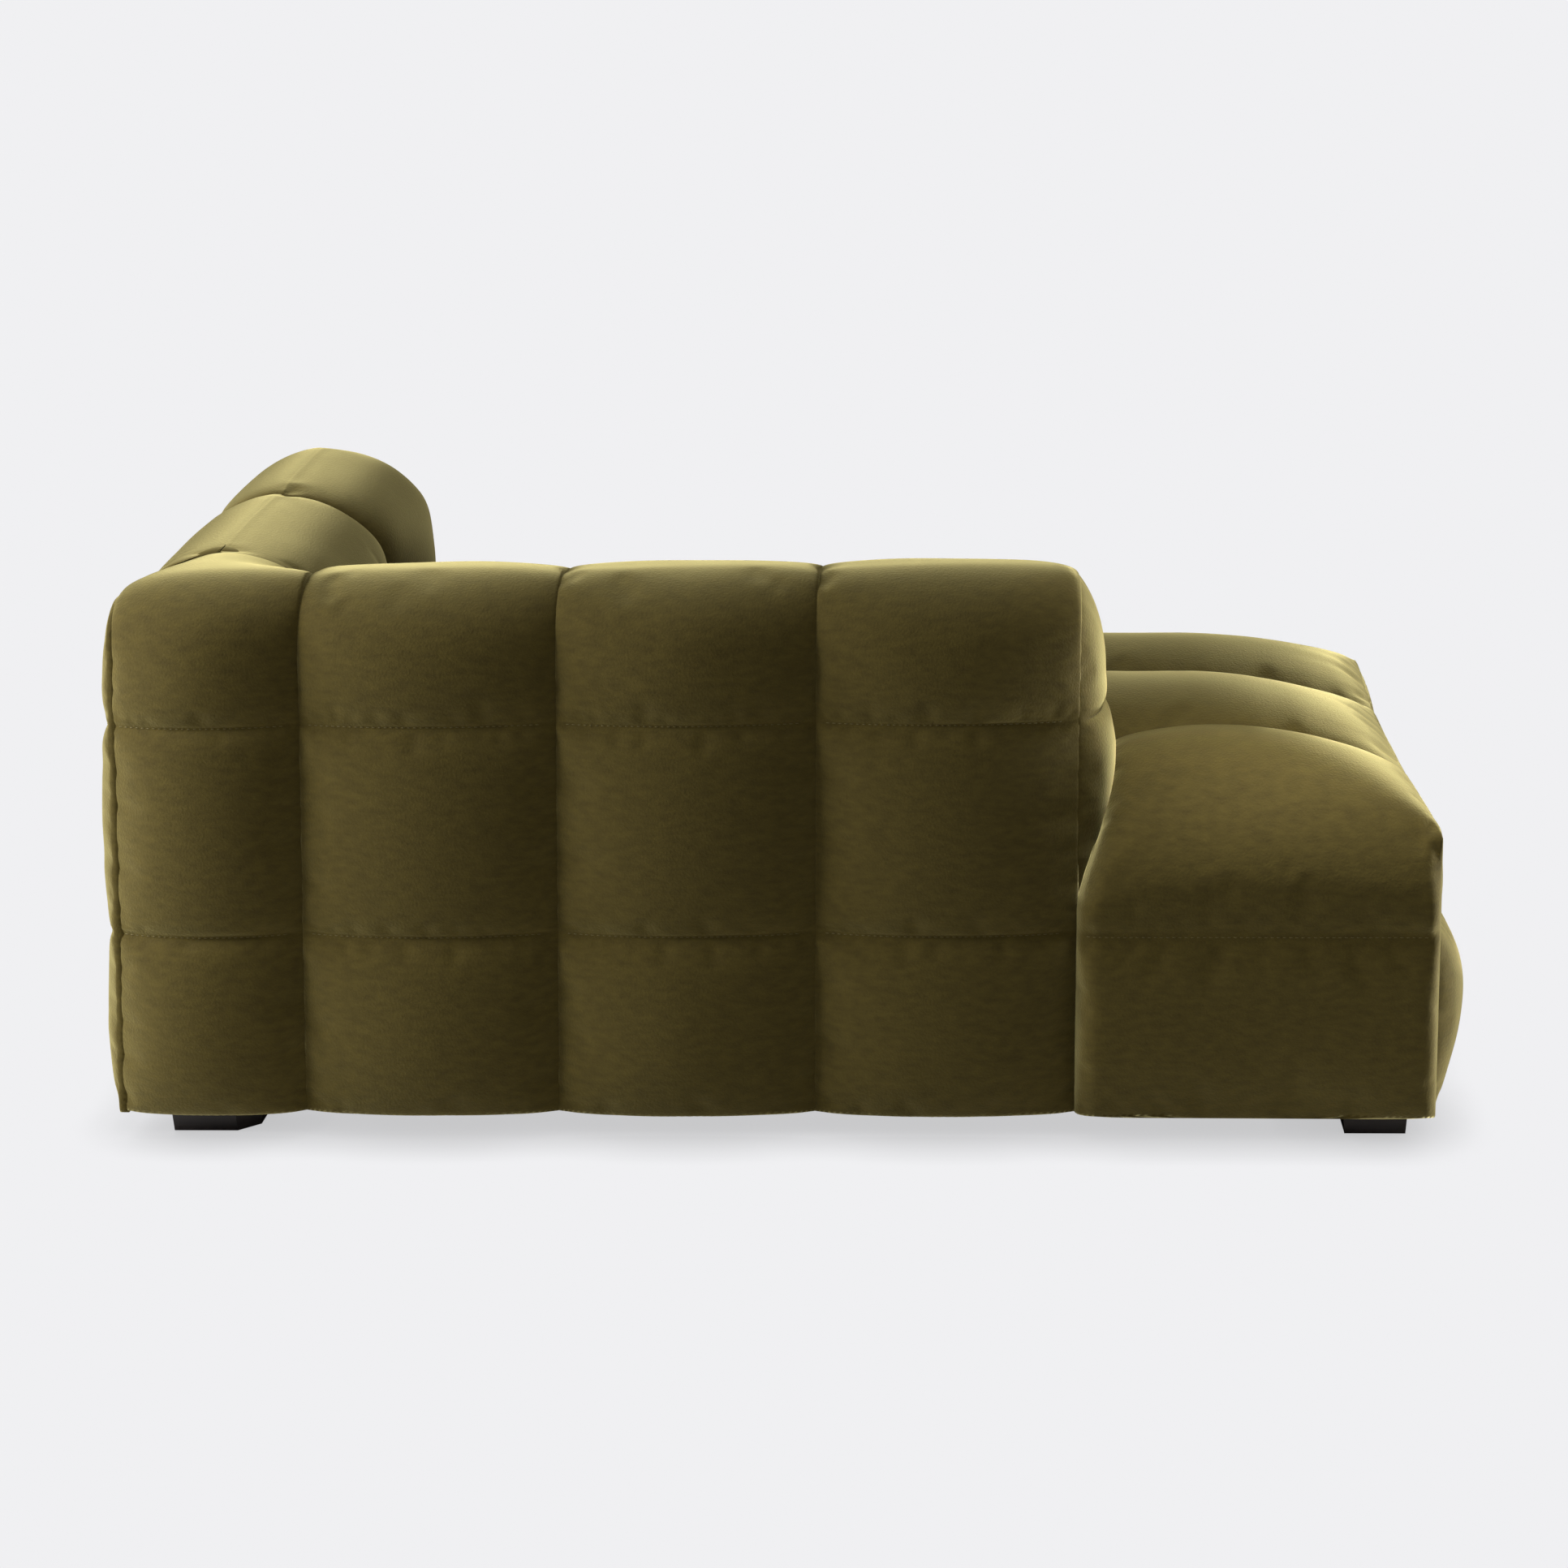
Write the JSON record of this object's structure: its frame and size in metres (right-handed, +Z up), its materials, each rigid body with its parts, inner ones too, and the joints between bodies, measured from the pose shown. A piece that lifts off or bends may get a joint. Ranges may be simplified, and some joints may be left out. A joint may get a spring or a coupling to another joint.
{
  "type": "chaise longue",
  "caption": "Low one-armed chaise longue in channel-quilted velvet, with a padded arm and back, a long crowned seat and short block feet.",
  "frame": {"origin": "on the floor under the middle of the chaise's outline", "axes": "+X towards the foot end, -X towards the back rest, -Y towards the arm, +Z up"},
  "size_m": [1.6801, 1.0505, 0.726],
  "materials": {
    "velvet": "olive green pile velvet over foam and wadding",
    "foot_wood": "dark stained block, satin",
    "glide_nylon": "moulded nylon glide",
    "zinc_steel": "zinc plated",
    "foam": "open cell polyurethane foam",
    "felt": "needled insulator felt",
    "webbing": "woven elastic webbing",
    "cover_cloth": "spunbond dust cover",
    "plywood": "thin birch plywood",
    "pine": "planed softwood"
  },
  "bodies": {
    "root": {"arm_bottom_board": "pine", "arm_channel_front": "velvet", "arm_channel_middle": "velvet", "arm_channel_rear": "velvet", "arm_first_post": "pine", "arm_front_cap": "velvet", "arm_inner_panel": "plywood", "arm_last_post": "pine", "arm_middle_post": "pine", "arm_outer_panel": "plywood", "arm_top_board": "pine", "arm_top_foam": "foam", "back_bottom_board": "pine", "back_channel_far": "velvet", "back_channel_middle": "velvet", "back_end_cap": "velvet", "back_first_post": "pine", "back_inner_panel": "plywood", "back_last_post": "pine", "back_middle_post": "pine", "back_outer_panel": "plywood", "back_top_board": "pine", "back_top_foam": "foam", "base_back_rail": "pine", "base_cross_rail_front": "pine", "base_cross_rail_middle": "pine", "base_cross_rail_rear": "pine", "base_far_rail": "pine", "base_front_rail": "pine", "base_near_rail": "pine", "corner_block_front_far": "pine", "corner_block_front_near": "pine", "corner_block_rear_far": "pine", "corner_block_rear_near": "pine", "corner_channel": "velvet", "dust_cover": "cover_cloth", "far_side_border_1": "velvet", "far_side_border_2": "velvet", "far_side_border_3": "velvet", "far_side_border_4": "velvet", "foot_bolts": "zinc_steel", "foot_front_far": "foot_wood", "foot_front_near": "foot_wood", "foot_glides": "glide_nylon", "foot_rear_far": "foot_wood", "foot_rear_near": "foot_wood", "frame_bolts": "zinc_steel", "frame_washers": "zinc_steel", "front_border_far": "velvet", "front_border_middle": "velvet", "front_border_near": "velvet", "near_side_border": "velvet", "seat_channel_far": "velvet", "seat_channel_middle": "velvet", "seat_channel_near": "velvet", "seat_felt": "felt", "seat_foam_core": "foam", "tee_nuts": "zinc_steel", "webbing_straps": "webbing"}
  },
  "joints": []
}
